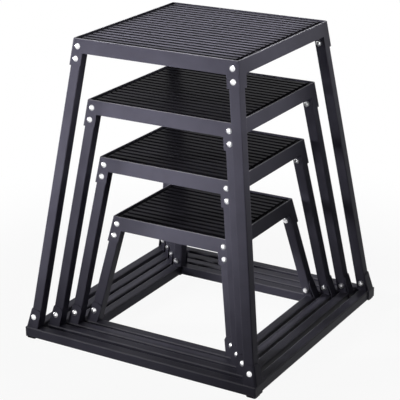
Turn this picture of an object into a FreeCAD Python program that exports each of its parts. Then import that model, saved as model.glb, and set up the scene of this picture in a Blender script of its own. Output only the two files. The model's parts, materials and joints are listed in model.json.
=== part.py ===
import FreeCAD, Part
import math
import os

from FreeCAD import Vector

# A nested set of four steel plyo boxes. Each box is a sheet-metal platform on four splayed tube
# legs, bolted to a ring of tubes, and each one stands over the next smaller one.
# Millimetres, +Z up, front towards -Y, origin on the floor at the centre of the set.

# Height over the rim and width of the platform of each box
tall_height = 762.0
tall_top = 447.0
high_height = 609.0
high_top = 406.6
mid_height = 462.0
mid_top = 371.4
low_height = 304.5
low_top = 330.4

# Width of the largest base, and the gap from each smaller base to the one around it
tall_base = 658.4
high_nest_gap = 10.7
mid_nest_gap = 5.8
low_nest_gap = 5.8

# Platform: a welded tray with a rim round the mat, skirts, and a tab at each corner
platform_sheet = 3.0
platform_round = 3.5
rim_bevel = 0.8
deck_depth = 8.0
skirt_height = 34.0
tab_length = 64.5
tab_width = 33.0

# Tread mat: a rubber sheet with flat-topped ribs
mat_gap = 0.8
mat_sheet = 3.0
rib_height = 4.0
rib_width = 13.0
rib_pitch = 21.2
rib_draft = 1.0
rib_end_margin = 11.0
rib_side_margin = 11.5

# Square tubes of the legs and the rails
leg_side = 27.0
rail_side = 25.5
tube_wall = 1.6
tube_round = 2.5

# Feet, and the folded brackets that join the legs to the base's corners
foot_height = 4.0
foot_side = 27.0
foot_inset = 0.5
foot_taper = 1.0
foot_round = 4.0
bracket_sheet = 2.5
bracket_top = 77.0
bracket_round = 10.0
base_step = 7.4

# Fasteners: coach bolts with a domed head on a square shank, and hexagon nuts
shank_side = 8.0
shank_hole_play = 0.4
nut_bore_play = 0.15
bolt_tail = 2.0
head_width = 14.5
head_height = 4.5
head_sides = 10
head_bands = 2
nut_flats = 13.0
nut_height = 6.5
upper_bolt_drop = 18.5
lower_bolt_drop = 48.0
base_bolt_height = 57.0
base_bolt_inset = 10.0

# Clearance between seated pieces, and the length by which a cut runs past what it cuts
seat_gap = 0.1
cut_overrun = 20.0

# Number of flat facets that make up a rounded corner
corner_facets = 2

base_ring = bracket_sheet + seat_gap + rail_side
high_base = tall_base - 2 * (base_ring + high_nest_gap)
mid_base = high_base - 2 * (base_ring + mid_nest_gap)
low_base = mid_base - 2 * (base_ring + low_nest_gap)
rail_top = foot_height + rail_side
bracket_fold = tube_round + bracket_sheet

# Corner names, and the side of the set on which each one lies along X and Y
CORNERS = (
    ("front_left", -1, -1),
    ("front_right", 1, -1),
    ("back_left", -1, 1),
    ("back_right", 1, 1),
)


class Box:
    """The sloping faces of one box, as half-widths at a given height."""

    def __init__(self, name, height, top, base):
        self.name = name
        self.height = height
        self.top_half = top / 2
        self.base_half = base / 2
        leg_foot = self.base_half - base_step
        skin_foot = leg_foot + seat_gap + platform_sheet
        self.splay = (skin_foot - self.top_half) / (height - rail_top)
        self.deck_top = height - deck_depth
        self.deck_under = self.deck_top - platform_sheet
        self.tab_foot = height - tab_length
        self.side_half = self.base_half - bracket_sheet - seat_gap
        self.lug_head = self.leg(bracket_top) + seat_gap + bracket_sheet
        self.lug_foot = self.base_half - tube_round
        self.lug_lean = (self.lug_foot - self.lug_head) / (bracket_top - rail_top)
        self.mat_half = self.top_half - platform_sheet - mat_gap

    def skin(self, z):
        """Outer faces of the platform, carried on down at the legs' slope."""
        return self.top_half + self.splay * (self.height - z)

    def leg(self, z):
        """Outer faces of the legs."""
        return self.skin(z) - platform_sheet - seat_gap

    def lug(self, z):
        """Outer faces of the brackets' bolted lugs, which lean from the rails to the legs."""
        return self.lug_head + self.lug_lean * (bracket_top - z)


def quarter_round(x, y, radius, quarter):
    """Points (x, y) along one quarter of a circle, where quarter 0 runs from +X to +Y."""
    angles = [math.pi / 2 * (quarter + step / corner_facets) for step in range(corner_facets + 1)]
    return [(x + radius * math.cos(a), y + radius * math.sin(a)) for a in angles]


def rounded_rectangle(low_x, high_x, low_y, high_y, radius, z):
    """Corner points of a rectangle at one height, with its corners rounded off in facets."""
    centres = (
        (high_x - radius, high_y - radius),
        (low_x + radius, high_y - radius),
        (low_x + radius, low_y + radius),
        (high_x - radius, low_y + radius),
    )
    points = []
    for quarter, (x, y) in enumerate(centres):
        points += quarter_round(x, y, radius, quarter)
    return [Vector(x, y, z) for x, y in points]


def polygon(sides, flats, z):
    """Corner points of a regular polygon about the Z axis, given by its width across flats."""
    radius = flats / 2 / math.cos(math.pi / sides)
    angles = [math.pi / sides * (2 * step + 1) for step in range(sides)]
    return [Vector(radius * math.cos(a), radius * math.sin(a), z) for a in angles]


def flat_face(points):
    return Part.Face(Part.makePolygon(points + points[:1]))


def prism(points, travel):
    """A flat outline through points, drawn out along a vector."""
    return flat_face(points).extrude(travel)


def stack(rings):
    """A flat-faced solid through rings of points, listed from the lowest to the highest."""
    faces = [flat_face(rings[0]), flat_face(rings[-1])]
    for low, high in zip(rings, rings[1:]):
        for step in range(len(low)):
            faces.append(flat_face([low[step - 1], low[step], high[step], high[step - 1]]))
    solid = Part.Solid(Part.Shell(faces))
    if solid.Volume < 0:
        solid.reverse()
    return solid


def pyramid(sections, radius):
    """A solid through rounded squares, each given as its half-width and its height."""
    return stack([rounded_rectangle(-half, half, -half, half, radius, z) for half, z in sections])


def in_corner(shape, side_x, side_y):
    """Carries a shape from the back right corner to another corner."""
    if side_x < 0:
        shape = shape.mirror(Vector(0, 0, 0), Vector(1, 0, 0))
    if side_y < 0:
        shape = shape.mirror(Vector(0, 0, 0), Vector(0, 1, 0))
    return shape


def in_all_corners(shapes):
    copies = []
    for _, side_x, side_y in CORNERS:
        copies += [in_corner(shape, side_x, side_y) for shape in shapes]
    return Part.makeCompound(copies)


def quarter_turned(shape):
    return shape.rotated(Vector(0, 0, 0), Vector(0, 0, 1), 90)


def bolt_seats(box):
    """Where the bolts of the back right corner sit, and how far the face under each one leans."""
    seats = []
    for drop in (upper_bolt_drop, lower_bolt_drop):
        z = box.height - drop
        seats.append((Vector(box.leg(z) - leg_side / 2, box.skin(z), z), box.splay))
    z = base_bolt_height
    seats.append((Vector(box.leg(z) - base_bolt_inset, box.lug(z), z), box.lug_lean))
    return seats


def seat_frame(point, lean):
    """A placement whose Z axis stands square on a leaning back face."""
    return FreeCAD.Placement(point, FreeCAD.Rotation(Vector(0, 0, 1), Vector(0, 1, lean)))


def grip(box, point, lean):
    """Length of bolt between head and nut, where a nut that sits askew clears the leg's far wall."""
    depth = point.y - box.leg(point.z) + leg_side
    tilt = math.atan(lean)
    length = depth / (math.cos(tilt) + box.splay * math.sin(tilt))
    nut_reach = nut_flats / 2 / math.cos(math.pi / 6)
    return length + nut_reach * (lean - box.splay)


def placed(shape, placement):
    shape = shape.copy()
    shape.Placement = placement
    return shape


def bolt_holes(box):
    """Cutters for the back right corner that run through the sheet and both walls of the leg."""
    outline = polygon(4, shank_side + 2 * shank_hole_play, cut_overrun)
    punch = prism(outline, Vector(0, 0, -leg_side - 2 * cut_overrun))
    return [placed(punch, seat_frame(point, lean)) for point, lean in bolt_seats(box)]


def all_bolt_holes(box):
    return in_all_corners(bolt_holes(box)).Solids


def bolt(length):
    """A coach bolt whose head sits on the plane z = 0 and whose shank points down."""
    half = head_width / 2
    dome = (half ** 2 + head_height ** 2) / (2 * head_height)
    edge_angle = math.asin(half / dome)
    rings = []
    for band in range(head_bands + 1):
        angle = edge_angle * (1 - band / (head_bands + 1))
        rise = head_height - dome * (1 - math.cos(angle))
        rings.append(polygon(head_sides, 2 * dome * math.sin(angle), rise))
    shank = prism(polygon(4, shank_side, 0), Vector(0, 0, -length))
    return stack(rings).fuse(shank).removeSplitter()


def nut():
    """A hexagon nut that hangs below the plane z = 0."""
    body = prism(polygon(6, nut_flats, 0), Vector(0, 0, -nut_height))
    outline = polygon(4, shank_side + 2 * nut_bore_play, cut_overrun)
    return body.cut(prism(outline, Vector(0, 0, -nut_height - 2 * cut_overrun)))


def bolts(box):
    shapes = []
    for point, lean in bolt_seats(box):
        length = grip(box, point, lean) + nut_height + bolt_tail
        shapes.append(placed(bolt(length), seat_frame(point, lean)))
    return in_all_corners(shapes)


def nuts(box):
    shapes = []
    for point, lean in bolt_seats(box):
        below_head = FreeCAD.Placement(Vector(0, 0, -grip(box, point, lean)), FreeCAD.Rotation())
        shapes.append(placed(nut(), seat_frame(point, lean).multiply(below_head)))
    return in_all_corners(shapes)


def skirt_windows(box):
    """Cutters that leave the skirts between the tabs, front to back and side to side."""
    high = box.height - skirt_height
    low = box.tab_foot - cut_overrun
    reach = box.skin(low)
    points = []
    for side, z in ((-1, high), (-1, low), (1, low), (1, high)):
        points.append(Vector(side * (box.skin(z) - tab_width), -reach, z))
    window = prism(points, Vector(0, 2 * reach, 0))
    return [window, quarter_turned(window)]


def platform(box):
    """A tray of bent sheet: rim, deck, four skirts and the corner tabs that wrap the legs."""
    bevel_foot = box.height - rim_bevel
    sections = [(box.skin(z), z) for z in (box.tab_foot, bevel_foot)]
    body = pyramid(sections + [(box.top_half - rim_bevel, box.height)], platform_round)
    under_deck = (box.tab_foot - cut_overrun, box.deck_under)
    over_deck = (box.deck_top, box.height + cut_overrun)
    hollows = []
    for levels in (under_deck, over_deck):
        sections = [(box.skin(z) - platform_sheet, z) for z in levels]
        hollows.append(pyramid(sections, platform_round - platform_sheet))
    return body.cut(hollows + skirt_windows(box) + all_bolt_holes(box))


def tread_mat(box):
    """A rubber sheet inside the rim, with ribs from side to side."""
    low = box.deck_top
    high = low + mat_sheet
    sheet = pyramid([(box.mat_half, low), (box.mat_half, high)], platform_round - platform_sheet)
    field = 2 * (box.mat_half - rib_side_margin) - rib_width
    steps = int(field / rib_pitch)
    end = box.mat_half - rib_end_margin
    ribs = []
    for step in range(steps + 1):
        y = (step - steps / 2) * rib_pitch
        points = [
            Vector(-end, y - rib_width / 2, high),
            Vector(-end, y + rib_width / 2, high),
            Vector(-end, y + rib_width / 2 - rib_draft, high + rib_height),
            Vector(-end, y - rib_width / 2 + rib_draft, high + rib_height),
        ]
        ribs.append(prism(points, Vector(2 * end, 0, 0)))
    return sheet.fuse(ribs).removeSplitter()


def tube(side, travel):
    """A square tube drawn out along a vector, with the middle of its lower end at the origin."""
    half = side / 2
    outer = prism(rounded_rectangle(-half, half, -half, half, tube_round, 0), travel)
    return outer.cut(prism(polygon(4, side - 2 * tube_wall, 0), travel))


def leg(box):
    """The back right leg, from the rails to the deck."""
    middle = box.leg(rail_top) - leg_side / 2
    lean = box.leg(box.deck_under) - box.leg(rail_top)
    shape = tube(leg_side, Vector(lean, lean, box.deck_under - rail_top))
    shape.translate(Vector(middle, middle, rail_top))
    return shape.cut(bolt_holes(box))


def rail(half_length, outer_face):
    """A rail along X at the back, given by the place of its outer face."""
    middle = Vector(-half_length, outer_face - rail_side / 2, foot_height + rail_side / 2)
    along = FreeCAD.Rotation(Vector(0, 0, 1), Vector(1, 0, 0))
    return placed(tube(rail_side, Vector(0, 0, 2 * half_length)), FreeCAD.Placement(middle, along))


def lug_outline(box):
    """The outline of one lug, seen along Y, drawn out through the base's edge."""
    near_top = box.leg(bracket_top) - leg_side
    near_foot = box.leg(rail_top) - leg_side
    far = box.base_half + cut_overrun
    rounding = quarter_round(near_top + bracket_round, bracket_top - bracket_round, bracket_round, 1)
    path = [(far, rail_top), (far, bracket_top)] + rounding + [(near_foot, rail_top)]
    inside = box.leg(bracket_top)
    return prism([Vector(x, inside, z) for x, z in path], Vector(0, far - inside, 0))


def cheek(box):
    """The upright part of the back right bracket, which closes the end of the back rail."""
    near = box.leg(rail_top) - leg_side
    points = []
    for y, z in ((near, foot_height), (box.base_half, foot_height), (box.base_half, rail_top), (near, rail_top)):
        points.append(Vector(box.base_half - bracket_sheet, y, z))
    return prism(points, Vector(bracket_sheet, 0, 0))


def corner_bracket(box):
    """The back right bracket: two lugs folded from one sheet, and a cheek below the side one."""
    sections = ((box.base_half, box.lug_foot, rail_top), (box.lug_head, box.lug_head, bracket_top))
    skins = []
    for inset in (0, bracket_sheet):
        rings = []
        for x, y, z in sections:
            rings.append(rounded_rectangle(inset - x, x - inset, inset - y, y - inset, bracket_fold - inset, z))
        skins.append(stack(rings))
    back_face = lug_outline(box)
    side_face = quarter_turned(back_face).mirror(Vector(0, 0, 0), Vector(1, 0, 0))
    lugs = skins[0].cut(skins[1]).common(back_face.fuse(side_face))
    return lugs.fuse(cheek(box)).removeSplitter().cut(bolt_holes(box)).Solids[0]


def foot(box):
    """The back right foot: a pad that narrows towards the floor."""
    high = box.base_half - foot_inset
    low = high - foot_side
    rings = []
    for inset, z in ((foot_taper, 0), (0, foot_height)):
        rings.append(rounded_rectangle(low + inset, high - inset, low + inset, high - inset, foot_round, z))
    return stack(rings)


def rails(box):
    """Front and back rails stop at the brackets' cheeks, and the side rails butt between them."""
    back = rail(box.side_half, box.base_half)
    side = quarter_turned(rail(box.base_half - rail_side, box.side_half))
    return {
        "rail_back": back,
        "rail_front": back.mirror(Vector(0, 0, 0), Vector(0, 1, 0)),
        "rail_left": side,
        "rail_right": side.mirror(Vector(0, 0, 0), Vector(1, 0, 0)),
    }


def pieces(box):
    """All pieces of one box, by name."""
    shapes = {"platform": platform(box), "tread_mat": tread_mat(box)}
    back_right_leg = leg(box)
    for corner, side_x, side_y in CORNERS:
        shapes["leg_" + corner] = in_corner(back_right_leg, side_x, side_y)
    shapes.update(rails(box))
    shapes["corner_brackets"] = in_all_corners([corner_bracket(box)])
    shapes["feet"] = in_all_corners([foot(box)])
    shapes["bolts"] = bolts(box)
    shapes["nuts"] = nuts(box)
    return shapes


boxes = (
    Box("box_30", tall_height, tall_top, tall_base),
    Box("box_24", high_height, high_top, high_base),
    Box("box_18", mid_height, mid_top, mid_base),
    Box("box_12", low_height, low_top, low_base),
)

os.makedirs("parts", exist_ok=True)
for box in boxes:
    for piece, shape in pieces(box).items():
        shape.exportStep(os.path.join("parts", box.name + "_" + piece + ".step"))
        print(box.name, piece, "solids:", len(shape.Solids), "valid:", shape.isValid())
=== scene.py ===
# %% [markdown]
# # A nested set of steel plyo boxes
# Four open boxes stand one inside the other. Each has a tray with a ribbed rubber tread, four
# splayed square tubes for legs, and a ring of tubes on the floor, all bolted together. The
# imported CAD model is loaded first. It fixes every size and place, so each piece made below takes
# its dimensions from the frame.

# %% Load the frame
import json
import math

import bmesh
import bpy
import numpy as np
from mathutils import Matrix, Vector


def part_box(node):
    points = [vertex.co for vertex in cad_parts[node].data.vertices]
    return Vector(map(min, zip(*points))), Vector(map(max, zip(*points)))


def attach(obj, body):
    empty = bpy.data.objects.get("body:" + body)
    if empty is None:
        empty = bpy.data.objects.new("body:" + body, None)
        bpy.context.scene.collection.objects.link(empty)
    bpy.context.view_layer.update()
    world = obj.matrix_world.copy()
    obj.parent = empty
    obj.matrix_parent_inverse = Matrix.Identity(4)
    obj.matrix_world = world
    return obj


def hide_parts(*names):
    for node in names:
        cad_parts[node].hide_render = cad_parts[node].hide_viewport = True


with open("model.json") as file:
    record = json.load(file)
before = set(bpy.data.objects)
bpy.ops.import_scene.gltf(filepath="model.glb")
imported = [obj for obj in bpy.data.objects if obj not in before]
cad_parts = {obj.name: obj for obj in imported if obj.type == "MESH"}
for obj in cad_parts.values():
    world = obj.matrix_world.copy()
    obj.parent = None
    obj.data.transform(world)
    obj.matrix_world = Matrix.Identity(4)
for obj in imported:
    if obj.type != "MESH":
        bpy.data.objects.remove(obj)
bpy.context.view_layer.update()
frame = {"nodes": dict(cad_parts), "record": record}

boxes = list(frame["record"]["behaviour"]["bodies"])
print("boxes:", boxes, "nodes:", len(frame["nodes"]))

# %% [markdown]
# ## The camera
# A product photographer stands well back with a long lens, so that the legs keep nearly parallel
# edges. A camera could be aimed with a Track To constraint, but a plain rotation built from its
# turn, its downward tilt and a trace of roll says more clearly where it looks.

# %% Camera
PHOTO_PIXELS = 400
FOCAL_PIXELS = 1399.1
SENSOR_MM = 36.0
CAMERA_PLACE = Vector((1.6901, -2.8354, 1.5472))
CAMERA_TURN = math.radians(30.981)
CAMERA_TILT = math.radians(20.349)
CAMERA_ROLL = math.radians(-0.498)
scene = bpy.context.scene


def add_object(name, data):
    """Puts a camera, a lamp or a mesh into the scene."""
    thing = bpy.data.objects.new(name, data)
    scene.collection.objects.link(thing)
    return thing


lens = bpy.data.cameras.new("camera")
lens.sensor_fit = "HORIZONTAL"
lens.sensor_width = SENSOR_MM
lens.lens = FOCAL_PIXELS / PHOTO_PIXELS * SENSOR_MM
camera = add_object("camera", lens)
camera.matrix_world = (
    Matrix.Translation(CAMERA_PLACE)
    @ Matrix.Rotation(CAMERA_TURN, 4, "Z")
    @ Matrix.Rotation(math.pi / 2 - CAMERA_TILT, 4, "X")
    @ Matrix.Rotation(CAMERA_ROLL, 4, "Z")
)
scene.camera = camera
scene.view_settings.view_transform = "Standard"
print("lens:", round(lens.lens, 1), "mm")

# %% [markdown]
# ## Helpers for materials
# Every finish below is a small node tree. Writing each node by hand takes many lines, so one
# helper makes a node, sets its plain values and joins its inputs. A finish could come from a
# library file instead, but a tree built in code shows what it is made of.

# %% Node helpers
def add_node(tree, kind, values=None, links=None, **settings):
    """A shader node with plain socket values, and with sockets joined to other nodes' outputs."""
    node = tree.nodes.new(kind)
    for name, value in settings.items():
        setattr(node, name, value)
    for socket, value in (values or {}).items():
        node.inputs[socket].default_value = value
    for socket, output in (links or {}).items():
        tree.links.new(output, node.inputs[socket])
    return node


def new_material(name):
    """An empty node material with its tree."""
    material = bpy.data.materials.new(name)
    material.use_nodes = True
    material.node_tree.nodes.clear()
    return material, material.node_tree


def surface(tree, shader):
    """Joins a shader to the output of its material."""
    add_node(tree, "ShaderNodeOutputMaterial", links={"Surface": shader})


print("material helpers ready")

# %% [markdown]
# ## Noise that stays on the steel
# No coat, rubber or plate is the same all over, and noise gives each finish its small changes.
# Image textures could do that with unwrapped faces. Noise needs none: it uses object
# coordinates, and as every piece keeps its place in its own mesh, the pattern stays on the steel
# when a box is lifted. Most values of a noise lie near its middle, so the helpers stretch that
# part over the full range.

# %% Noise helpers
NOISE_RANGE = (0.3, 0.7)


def object_noise(tree, scale, detail):
    """Noise in object coordinates, with its scale given in features per metre."""
    place = add_node(tree, "ShaderNodeTexCoord").outputs["Object"]
    return add_node(
        tree, "ShaderNodeTexNoise", {"Scale": scale, "Detail": detail}, {"Vector": place}
    ).outputs["Fac"]


def spread(tree, noise, low, high):
    """Spreads a noise over a range of values."""
    least, most = NOISE_RANGE
    return add_node(
        tree, "ShaderNodeMapRange",
        {"From Min": least, "From Max": most, "To Min": low, "To Max": high}, {"Value": noise},
    ).outputs["Result"]


def blended(tree, noise, low, high):
    """Blends two colours by a noise."""
    ramp = add_node(tree, "ShaderNodeValToRGB", links={"Fac": noise})
    for stop, place, colour in zip(ramp.color_ramp.elements, NOISE_RANGE, (low, high)):
        stop.position = place
        stop.color = (*colour, 1.0)
    return ramp.outputs["Color"]


print("noise range:", NOISE_RANGE)

# %% [markdown]
# ## What the eye and the gloss see
# A product is often shown on pure white. Lamps strong enough to light a floor that far would
# turn the black steel grey. The Light Path node tells what kind of ray meets a surface, so that
# the floor and the surroundings can be white to the camera, to gloss and through glass, and
# darker to light that bounces.

# %% Rays that see white
SEEN_RAYS = ("Is Camera Ray", "Is Glossy Ray", "Is Transmission Ray")


def seen_directly(tree):
    """1 for rays from the camera, from gloss and through glass, and 0 for the rest."""
    path = add_node(tree, "ShaderNodeLightPath")
    total, *others = [path.outputs[name] for name in SEEN_RAYS]
    for output in others:
        total = add_node(
            tree, "ShaderNodeMath", links={0: total, 1: output}, operation="MAXIMUM"
        ).outputs["Value"]
    return total


print("rays that see white:", len(SEEN_RAYS))

# %% [markdown]
# ## Studio floor
# The boxes stand on a white studio floor, and their shadow tells that they touch it. The floor
# is plain white to the eye. Near the boxes a small share of lit paint is mixed in, which keeps
# the shadow and fades out with the distance. A shadow catcher would need a second picture to lay
# it on. Light that bounces meets a grey floor, so undersides stay dark.

# %% Floor
FLOOR_HALF = 12.0
SHADOW_SHARE = 0.07
SHADOW_REACH = (0.45, 1.3)
PAINT_TONE = 0.95
BOUNCE_TONE = 0.30


def grey(tone):
    """A colour without any tint."""
    return (tone, tone, tone, 1.0)


def floor_material():
    """White to the eye with a share of lit paint near the boxes, and grey to bounced light."""
    material, tree = new_material("studio_floor")
    place = add_node(tree, "ShaderNodeTexCoord").outputs["Object"]
    distance = add_node(
        tree, "ShaderNodeVectorMath", links={0: place}, operation="LENGTH"
    ).outputs["Value"]
    near, far = SHADOW_REACH
    share = add_node(
        tree, "ShaderNodeMapRange",
        {"From Min": near, "From Max": far, "To Min": SHADOW_SHARE, "To Max": 0.0},
        {"Value": distance}, interpolation_type="SMOOTHSTEP",
    ).outputs["Result"]
    bounce = add_node(tree, "ShaderNodeBsdfDiffuse", {"Color": grey(BOUNCE_TONE)})
    paint = add_node(tree, "ShaderNodeBsdfDiffuse", {"Color": grey(PAINT_TONE)})
    white = add_node(tree, "ShaderNodeEmission", {"Color": grey(1.0), "Strength": 1.0})
    bright = add_node(
        tree, "ShaderNodeMixShader",
        links={"Fac": share, 1: white.outputs["Emission"], 2: paint.outputs["BSDF"]},
    )
    mix = add_node(
        tree, "ShaderNodeMixShader",
        links={
            "Fac": seen_directly(tree),
            1: bounce.outputs["BSDF"],
            2: bright.outputs["Shader"],
        },
    )
    surface(tree, mix.outputs["Shader"])
    return material


corners = [(-FLOOR_HALF, -FLOOR_HALF, 0), (FLOOR_HALF, -FLOOR_HALF, 0),
           (FLOOR_HALF, FLOOR_HALF, 0), (-FLOOR_HALF, FLOOR_HALF, 0)]
floor_mesh = bpy.data.meshes.new("floor")
floor_mesh.from_pydata(corners, [], [(0, 1, 2, 3)])
floor_mesh.materials.append(floor_material())
floor = add_object("floor", floor_mesh)
print("floor:", 2 * FLOOR_HALF, "m wide")

# %% [markdown]
# ## White surroundings
# A studio for product photos is white all round, and the zinc mirrors it. A backdrop of real
# walls would do this too, but it would catch shadows and need lamps of its own. A world that is
# white to the camera and to gloss, and nearly dark to everything else, leaves the light to the
# lamps.

# %% World
AMBIENT = 0.02

world = bpy.data.worlds.new("studio")
world.use_nodes = True
world.node_tree.nodes.clear()
dim = add_node(world.node_tree, "ShaderNodeBackground", {"Strength": AMBIENT})
clear = add_node(world.node_tree, "ShaderNodeBackground", {"Color": grey(1.0), "Strength": 1.0})
sky = add_node(
    world.node_tree, "ShaderNodeMixShader",
    links={
        "Fac": seen_directly(world.node_tree),
        1: dim.outputs["Background"],
        2: clear.outputs["Background"],
    },
)
add_node(world.node_tree, "ShaderNodeOutputWorld", links={"Surface": sky.outputs["Shader"]})
scene.world = world
print("ambient light:", AMBIENT)

# %% [markdown]
# ## Lamps
# The fronts of the boxes are lighter than their right sides, the highest tread is light, and the
# tone falls off towards the floor. A photographer gets this with softboxes behind grids, which
# hold the light in a cone. An area lamp does the same with a small spread angle, and its size
# sets how soft the shadows are. The overhead beam is so narrow that it lights the highest tread
# alone, the lamp on the right stands lower than that tread, so that it can't glare on it, and
# the two raised lamps are there for boxes that are lifted off the nest. A sun lamp would be
# simpler, but it would light the low rails as much as the trays.

# %% Lamps
# Each row: name, place, point that it is aimed at, size in metres, cone in degrees, watts.
LAMPS = (
    ("front", (-0.5, -2.9, 1.6), (0.0, -0.1, 0.80), 0.8, 28.0, 1.4),
    ("front_high", (-0.5, -2.2, 2.3), (0.0, -0.2, 0.74), 0.6, 22.0, 0.95),
    ("front_low", (-0.9, -2.9, 0.5), (-0.16, -0.2, 0.40), 0.4, 20.0, 0.62),
    ("front_left", (-2.6, -1.6, 1.2), (-0.40, -0.25, 0.47), 0.5, 21.0, 1.3),
    ("left", (-2.9, 0.3, 0.55), (-0.2, 0.0, 0.45), 0.6, 24.0, 1.8),
    ("right", (2.5, -0.3, 0.58), (0.2, -0.1, 0.68), 0.3, 18.0, 0.30),
    ("right_back", (1.9, 1.3, 1.7), (0.15, 0.0, 0.80), 0.8, 24.0, 0.26),
    ("back", (0.6, 2.9, 1.2), (0.0, 0.1, 0.70), 0.8, 26.0, 1.4),
    ("overhead", (0.0, 0.0, 3.0), (0.0, 0.0, 0.76), 0.41, 2.0, 3.5),
    ("front_raised", (-0.7, -3.5, 2.1), (0.0, 0.0, 1.90), 0.5, 28.0, 2.6),
    ("back_raised", (0.8, 3.5, 2.1), (0.0, 0.0, 1.90), 0.5, 28.0, 2.0),
)

for name, place, aim, size, cone, watts in LAMPS:
    lamp = bpy.data.lights.new(name, "AREA")
    lamp.size = size
    lamp.spread = math.radians(cone)
    lamp.energy = watts
    holder = add_object(name, lamp)
    holder.location = place
    holder.rotation_euler = (Vector(aim) - holder.location).to_track_quat("-Z", "Y").to_euler()
print("lamps:", [name for name, *_ in LAMPS])

# %% [markdown]
# ## Black powder coat
# The tubes and sheets wear a satin black powder coat. Powder melts into a skin with a faint
# orange peel, so the gloss is broken into fine grains and drifts a little from place to place.
# Noise at two scales does both: a fine one drives a bump, and a broad one the tone and the
# roughness. The rims and the rails' upper edges are painted paler, a painted highlight for light
# catching them. Painting that on an image would need unwrapped faces, so each face will carry a
# number that says how much painted highlight it gets.

# %% Powder coat
COAT_DEEP = (0.064, 0.061, 0.083)
COAT_PALE = (0.080, 0.077, 0.103)
# The palest coat tone below is a painted highlight on the rims and the rails' upper edges.
COAT_HIGHLIGHT = (0.24, 0.235, 0.26)
COAT_HIGHLIGHT_SHARE = (0.7, 1.0)
COAT_ROUGHNESS = (0.36, 0.46)
COAT_GLOSS = 0.045
COAT_PATCHES = 14.0
COAT_GRAINS = 950.0
PEEL_STRENGTH = 0.15
BUMP_HEIGHT = 0.0002


def highlighted(tree, share, fresh, pale):
    """Turns a colour paler by a share of the painted highlight that the faces carry."""
    painted_highlight = add_node(tree, "ShaderNodeAttribute", attribute_name="painted_highlight").outputs["Fac"]
    factor = add_node(
        tree, "ShaderNodeMath", links={0: painted_highlight, 1: share}, operation="MULTIPLY"
    ).outputs["Value"]
    mix = add_node(tree, "ShaderNodeMix", data_type="RGBA")
    sockets = {socket.identifier: socket for socket in mix.inputs}
    sockets["B_Color"].default_value = (*pale, 1.0)
    tree.links.new(factor, sockets["Factor_Float"])
    tree.links.new(fresh, sockets["A_Color"])
    return next(socket for socket in mix.outputs if socket.identifier == "Result_Color")


def powder_coat():
    """Satin black with a fine peel, and a painted highlight where the faces carry one."""
    material, tree = new_material("powder_coat")
    drift = object_noise(tree, COAT_PATCHES, detail=3.0)
    grain = object_noise(tree, COAT_GRAINS, detail=2.0)
    peel = add_node(
        tree, "ShaderNodeBump", {"Strength": PEEL_STRENGTH, "Distance": BUMP_HEIGHT},
        {"Height": grain},
    )
    paint = blended(tree, drift, COAT_DEEP, COAT_PALE)
    shader = add_node(
        tree, "ShaderNodeBsdfPrincipled", {"Specular IOR Level": COAT_GLOSS},
        {
            "Base Color": highlighted(tree, spread(tree, drift, *COAT_HIGHLIGHT_SHARE), paint, COAT_HIGHLIGHT),
            "Roughness": spread(tree, drift, *COAT_ROUGHNESS),
            "Normal": peel.outputs["Normal"],
        },
    )
    surface(tree, shader.outputs["BSDF"])
    return material


coat = powder_coat()
print("material:", coat.name)

# %% [markdown]
# ## Moulded rubber
# The treads and the feet are black rubber, full of tiny pits from the mould and greyed a little
# by dust. The tops of the ribs are painted paler than the grooves, a painted highlight for lit
# tops between shaded grooves. One function makes both finishes, since they differ only in their
# tones, their roughness and the size of the pits.

# %% Rubber
# The share on the next line scales the painted highlight on the rib tops.
RUBBER_HIGHLIGHT_SHARE = (0.9, 1.0)
RUBBER_GLOSS = 0.012
DUST_PATCHES = 35.0
PIT_STRENGTH = 0.06


def moulded_rubber(name, deep, pale, highlight_tone, roughness, pits_per_metre):
    """Pitted black rubber between a deep and a pale tone, with a painted highlight where the faces
    carry one.
    """
    material, tree = new_material(name)
    dust = object_noise(tree, DUST_PATCHES, detail=4.0)
    pits = object_noise(tree, pits_per_metre, detail=3.0)
    texture = add_node(
        tree, "ShaderNodeBump", {"Strength": PIT_STRENGTH, "Distance": BUMP_HEIGHT},
        {"Height": pits},
    )
    rubber = blended(tree, dust, deep, pale)
    shader = add_node(
        tree, "ShaderNodeBsdfPrincipled", {"Specular IOR Level": RUBBER_GLOSS},
        {
            "Base Color": highlighted(tree, spread(tree, dust, *RUBBER_HIGHLIGHT_SHARE), rubber, highlight_tone),
            "Roughness": spread(tree, pits, *roughness),
            "Normal": texture.outputs["Normal"],
        },
    )
    surface(tree, shader.outputs["BSDF"])
    return material


# The palest tone of each rubber is a painted highlight on the rib tops; the feet carry none.
tread_rubber = moulded_rubber(
    "tread_rubber",
    deep=(0.0040, 0.0038, 0.0050), pale=(0.0070, 0.0067, 0.0087), highlight_tone=(0.0195, 0.0187, 0.0243),
    roughness=(0.30, 0.34), pits_per_metre=1500.0,
)
foot_rubber = moulded_rubber(
    "foot_rubber",
    deep=(0.012, 0.012, 0.013), pale=(0.022, 0.022, 0.024), highlight_tone=(0.030, 0.030, 0.032),
    roughness=(0.55, 0.75), pits_per_metre=500.0,
)
print("materials:", tread_rubber.name, foot_rubber.name)

# %% [markdown]
# ## Bright zinc
# The bolts and nuts are plated with zinc, a pale metal that mirrors the white studio. The
# plating is not a perfect mirror, so fine noise spreads the roughness and a broad one clouds the
# tone. A plain grey paint would be simpler, but only a metal takes on the light and dark of its
# surroundings as the plate does.

# %% Zinc plate
ZINC_CLOUDED = (0.84, 0.84, 0.86)
ZINC_BRIGHT = (0.95, 0.95, 0.96)
ZINC_ROUGHNESS = (0.28, 0.42)
ZINC_CLOUDS = 160.0
ZINC_HAZE = 1400.0


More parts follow.
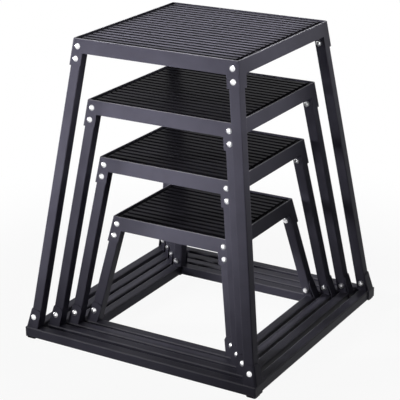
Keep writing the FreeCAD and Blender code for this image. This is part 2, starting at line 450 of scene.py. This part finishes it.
def zinc_plate():
    """Pale metal with a clouded tone and a fine haze."""
    material, tree = new_material("zinc_plate")
    cloud = object_noise(tree, ZINC_CLOUDS, detail=3.0)
    haze = object_noise(tree, ZINC_HAZE, detail=2.0)
    shader = add_node(
        tree, "ShaderNodeBsdfPrincipled", {"Metallic": 1.0},
        {
            "Base Color": blended(tree, cloud, ZINC_CLOUDED, ZINC_BRIGHT),
            "Roughness": spread(tree, haze, *ZINC_ROUGHNESS),
        },
    )
    surface(tree, shader.outputs["BSDF"])
    return material


zinc = zinc_plate()
print("material:", zinc.name)

# %% [markdown]
# ## Where highlights are painted
# Rims, rib tops and the rails' upper edges get a painted highlight, a paler tone where light
# catches them. It could be painted face by face, but a rule finds the same faces on all four
# boxes: the highest ones of a piece, or those that slope between a side and a top.

# %% Highlight rules
HIGHLIGHT_DEPTH = 0.002
FACES_UP = 0.3
EDGE_SLOPES = (0.2, 0.97)
EDGE_HIGHLIGHT = 0.6


def highlight_top(face, top):
    """Painted highlight on the highest faces of a piece."""
    at_top = face.calc_center_median().z > top - HIGHLIGHT_DEPTH
    return 1.0 if at_top and face.normal.z > FACES_UP else 0.0


def highlight_edge(face, top):
    """Painted highlight on the rounded upper edges of a piece, wherever its top is."""
    steep, flat = EDGE_SLOPES
    return EDGE_HIGHLIGHT if steep < face.normal.z < flat else 0.0


print("wear rules:", highlight_top.__name__, highlight_edge.__name__)

# %% [markdown]
# ## Soft edges on steel and rubber
# No real edge is perfectly sharp: rolled tube has rounded corners, cut sheet is eased before it
# is coated, and moulded rubber follows a rounded mould. The CAD solids carry the shape in a few
# flat facets. A copy of each one gets its flat triangles joined again, then a Bevel modifier
# rounds every edge and weighted normals keep the large faces flat. A bump could fake this, but
# the highlights along the edges would vanish in the silhouette. The copy also notes how much
# painted highlight each of its faces gets, for the finishes to read.

# %% Soft copies of the solids
MERGE_DISTANCE = 1e-6
FLAT_ANGLE = math.radians(1.0)
EDGE_ANGLE = math.radians(12.0)


def soft_copy(node, edge_width, rounds, material, painted_highlight=None):
    """A copy of a CAD node with rounded edges, which stands for the node."""
    shape = bmesh.new()
    shape.from_mesh(frame["nodes"][node].data)
    bmesh.ops.remove_doubles(shape, verts=shape.verts, dist=MERGE_DISTANCE)
    bmesh.ops.dissolve_limit(shape, angle_limit=FLAT_ANGLE, verts=shape.verts, edges=shape.edges)
    highlight_layer = shape.faces.layers.float.new("painted_highlight")
    top = max(corner.co.z for corner in shape.verts)
    for face in shape.faces:
        face.smooth = True
        face[highlight_layer] = painted_highlight(face, top) if painted_highlight else 0.0
    mesh = bpy.data.meshes.new(node + "_soft")
    shape.to_mesh(mesh)
    shape.free()
    mesh.materials.append(material)
    piece = add_object(node + "_soft", mesh)
    bevel = piece.modifiers.new("rounded edges", "BEVEL")
    bevel.width = edge_width
    bevel.segments = rounds
    bevel.limit_method = "ANGLE"
    bevel.angle_limit = EDGE_ANGLE
    piece.modifiers.new("flat faces", "WEIGHTED_NORMAL")
    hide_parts(node)
    return piece


print("edge rounding ready")

# %% [markdown]
# ## Steel frames
# Tray, legs, rails and corner brackets share the coat. The tubes' corners are rounder than the
# cut edges of the sheet, so each kind of piece has its own width of edge. They could be joined
# into one mesh, but separate pieces keep the seams where the real parts meet.

# %% Trays, legs, rails and brackets
TUBE_EDGE = 0.0010
TUBE_ROUNDS = 3
SHEET_EDGE = 0.0005
SHEET_ROUNDS = 2
# The rails get a painted highlight on their upper edges, and the platform on its rim.
TUBES = (
    ("leg_front_left", None), ("leg_front_right", None),
    ("leg_back_left", None), ("leg_back_right", None),
    ("rail_front", highlight_edge), ("rail_back", highlight_edge),
    ("rail_left", highlight_edge), ("rail_right", highlight_edge),
)
SHEETS = (("platform", highlight_top), ("corner_brackets", None))

for box in boxes:
    for name, painted_highlight in TUBES:
        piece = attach(soft_copy(f"{box}_{name}", TUBE_EDGE, TUBE_ROUNDS, coat, painted_highlight), box)
    for name, painted_highlight in SHEETS:
        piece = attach(soft_copy(f"{box}_{name}", SHEET_EDGE, SHEET_ROUNDS, coat, painted_highlight), box)
    print(box, "frame pieces:", len(TUBES) + len(SHEETS))

# %% [markdown]
# ## Treads and feet
# The tread is one moulding with flat-topped ribs across the tray, and a fine rounding at the
# edges of each rib. An Array modifier could repeat one rib, but the solid already holds all of
# them in their places. Each foot is a small soft pad, with wider edges than anything else on the
# box.

# %% Treads and feet
RIB_EDGE = 0.0005
FOOT_EDGE = 0.0016
RUBBER_ROUNDS = 3

for box in boxes:
    mat_node, feet_node = f"{box}_tread_mat", f"{box}_feet"
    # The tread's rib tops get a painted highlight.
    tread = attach(soft_copy(mat_node, RIB_EDGE, RUBBER_ROUNDS, tread_rubber, highlight_top), box)
    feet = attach(soft_copy(feet_node, FOOT_EDGE, RUBBER_ROUNDS, foot_rubber), box)
    low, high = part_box(mat_node)
    print(box, "tread:", round(high.x - low.x, 3), "m wide")

# %% [markdown]
# ## Finding the fasteners
# All bolts of a box are one CAD node of separate solids. To dress them, the mesh is parted into
# its loose pieces, and the long direction of each piece gives the axis of the bolt. The head is
# the end with more corner points. Typing in the places of the bolts would work too, but they
# would be wrong after any change of size.

# %% Loose pieces of a node
END_SLACK = 0.0002


def loose_pieces(node):
    """The corner points of each separate solid of a node."""
    shape = bmesh.new()
    shape.from_mesh(frame["nodes"][node].data)
    bmesh.ops.remove_doubles(shape, verts=shape.verts, dist=MERGE_DISTANCE)
    # A dict keeps the order of the corner points, so every run finds the same pieces.
    waiting = dict.fromkeys(shape.verts)
    pieces = []
    while waiting:
        found = [next(iter(waiting))]
        del waiting[found[0]]
        for corner in found:
            for edge in corner.link_edges:
                other = edge.other_vert(corner)
                if other in waiting:
                    del waiting[other]
                    found.append(other)
        pieces.append(np.array([corner.co for corner in found]))
    shape.free()
    return sorted(pieces, key=lambda points: tuple(np.round(points.mean(0), 4)))


def bolt_axis(points):
    """The middle of a bolt's crown and the middle of the end of its shank."""
    _, _, directions = np.linalg.svd(points - points.mean(0))
    along = points @ directions[0]
    ends = [points[along < along.min() + END_SLACK], points[along > along.max() - END_SLACK]]
    ends.sort(key=len)
    return Vector(ends[1].mean(0)), Vector(ends[0].mean(0))


bolt_points = {box: loose_pieces(f"{box}_bolts") for box in boxes}
nut_points = {box: loose_pieces(f"{box}_nuts") for box in boxes}
print("bolts:", {box: len(points) for box, points in bolt_points.items()})

# %% [markdown]
# ## The shape of a coach bolt
# The head of a coach bolt is a low dome, and its far end is a turned thread. Both are round, so
# the outline is spun about the axis of the bolt. The thread is a row of rings: at this size
# nobody can tell rings from a helix, and rings are far lighter.

# %% Bolt shape
HEAD_RADIUS = 0.00725
HEAD_HEIGHT = 0.0045
HEAD_EDGE = 0.0007
SHANK_RADIUS = 0.0039
THREAD_DEPTH = 0.0004
THREAD_PITCH = 0.00125
THREAD_TURNS = 9
DOME_STEPS = 6
SPIN_STEPS = 24


def bolt_outline(length):
    """Radius and height points of a bolt from its crown to the end of its thread."""
    rise = HEAD_HEIGHT - HEAD_EDGE
    dome = (HEAD_RADIUS ** 2 + rise ** 2) / (2 * rise)
    reach = math.asin(HEAD_RADIUS / dome)
    angles = [reach * step / DOME_STEPS for step in range(DOME_STEPS + 1)]
    outline = [(dome * math.sin(a), HEAD_HEIGHT - dome * (1 - math.cos(a))) for a in angles]
    outline += [(HEAD_RADIUS, 0.0), (SHANK_RADIUS, 0.0)]
    end = HEAD_HEIGHT - length
    for turn in range(THREAD_TURNS, 0, -1):
        outline.append((SHANK_RADIUS, end + turn * THREAD_PITCH))
        outline.append((SHANK_RADIUS - THREAD_DEPTH, end + (turn - 0.5) * THREAD_PITCH))
    outline += [(SHANK_RADIUS - 2 * THREAD_DEPTH, end), (0.0, end)]
    return outline


def spun(shape, outline, place):
    """Spins an outline about the Z axis into a mesh, and puts it in place."""
    angles = [2 * math.pi * step / SPIN_STEPS for step in range(SPIN_STEPS)]
    rings = []
    for radius, height in outline:
        turns = angles if radius else angles[:1]
        points = [Vector((radius * math.cos(a), radius * math.sin(a), height)) for a in turns]
        rings.append([shape.verts.new(place @ point) for point in points])
    for upper, lower in zip(rings, rings[1:]):
        for step in range(SPIN_STEPS):
            ring = [upper[(step - 1) % len(upper)], upper[step % len(upper)],
                    lower[step % len(lower)], lower[(step - 1) % len(lower)]]
            shape.faces.new(list(dict.fromkeys(ring)))


print("bolt head:", round(2 * HEAD_RADIUS, 4), "m across")

# %% [markdown]
# ## Bolts in their holes
# Each bolt is pushed through its hole from outside, until its head seats on the steel. All bolts
# of a box go into one mesh, because they share one CAD node and never move against each other.
# Separate objects would look the same, but there would be 48 of them to keep in order.

# %% Bolts
SHARP_ANGLE = math.radians(35.0)


def seat_matrix(seat, outward):
    """Carries the Z axis to a direction, and the origin to a seat."""
    return Matrix.Translation(seat) @ outward.to_track_quat("Z", "X").to_matrix().to_4x4()


def fastener_piece(name, shape, box, node):
    """One mesh of all fasteners of a kind on a box, in place of their CAD node."""
    bmesh.ops.recalc_face_normals(shape, faces=shape.faces)
    mesh = bpy.data.meshes.new(name)
    shape.to_mesh(mesh)
    shape.free()
    mesh.materials.append(zinc)
    mesh.shade_smooth()
    mesh.set_sharp_from_angle(angle=SHARP_ANGLE)
    piece = add_object(name, mesh)
    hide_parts(node)
    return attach(piece, box)


for box in boxes:
    shape = bmesh.new()
    for points in bolt_points[box]:
        crown, tail = bolt_axis(points)
        outward = (crown - tail).normalized()
        seat = crown - HEAD_HEIGHT * outward
        spun(shape, bolt_outline((crown - tail).length), seat_matrix(seat, outward))
    fastener_piece(f"{box}_coach_bolts", shape, box, f"{box}_bolts")
    print(box, "bolts:", len(bolt_points[box]))

# %% [markdown]
# ## The shape of a hexagon nut
# A nut is a hexagon whose corners are turned off by a cone, which leaves a curved edge on each
# flat. Cutting it with a Boolean would work, but the height of that edge has a simple formula:
# it drops in proportion to how far the hexagon reaches outside its inner circle.

# %% Nut shape
NUT_STEPS = 24
CONE_SLOPE = math.tan(math.radians(30.0))
BORE_RADIUS = 0.0042
BORE_DEPTH = 0.0020


def nut_rings(flats_radius, height):
    """Rings of points from the seat of a nut over its chamfer and down into its bore."""
    rings = [[], [], [], [], []]
    for step in range(NUT_STEPS):
        angle = 2 * math.pi * step / NUT_STEPS
        from_flat = (angle % (math.pi / 3)) - math.pi / 6
        reach = flats_radius / math.cos(from_flat)
        edge = height - (reach - flats_radius) * CONE_SLOPE
        for ring, radius, level in zip(
            rings,
            (reach, reach, flats_radius, BORE_RADIUS, BORE_RADIUS),
            (0.0, edge, height, height, height - BORE_DEPTH),
        ):
            ring.append(Vector((radius * math.cos(angle), radius * math.sin(angle), level)))
    return rings


print("nut bore:", 2 * BORE_RADIUS, "m across")

# %% [markdown]
# ## Nuts on their bolts
# Each nut is tightened from inside, so it sits on the far side of the steel from the head. Its
# solid in the CAD model gives the size, the seat and the turn of the hexagon. A nut could simply
# be placed at the end of its bolt, but then its corners would not lie where the solid's corners
# do.

# %% Nuts
def add_nut(shape, points, bolt):
    """Adds the nut that belongs to a bolt, in the place of its solid's corner points."""
    crown, tail = bolt
    inward = (tail - crown).normalized()
    middle = Vector(points.mean(0))
    offsets = [Vector(point) - middle for point in points]
    along = [offset.dot(inward) for offset in offsets]
    across = [offset - reach * inward for offset, reach in zip(offsets, along)]
    corner = max(across, key=lambda offset: offset.length)
    side = inward.cross(corner.normalized())
    axes = Matrix((corner.normalized(), side, inward)).transposed().to_4x4()
    place = Matrix.Translation(middle + min(along) * inward) @ axes
    rings = nut_rings(corner.length * math.cos(math.pi / 6), max(along) - min(along))
    levels = [[shape.verts.new(place @ point) for point in ring] for ring in rings]
    for lower, upper in zip(levels, levels[1:]):
        for step in range(NUT_STEPS):
            shape.faces.new((lower[step - 1], lower[step], upper[step], upper[step - 1]))


for box in boxes:
    bolts = [bolt_axis(points) for points in bolt_points[box]]
    shape = bmesh.new()
    for points in nut_points[box]:
        middle = Vector(points.mean(0))
        add_nut(shape, points, min(bolts, key=lambda ends: (ends[1] - middle).length))
    fastener_piece(f"{box}_hex_nuts", shape, box, f"{box}_nuts")
    print(box, "nuts:", len(nut_points[box]))
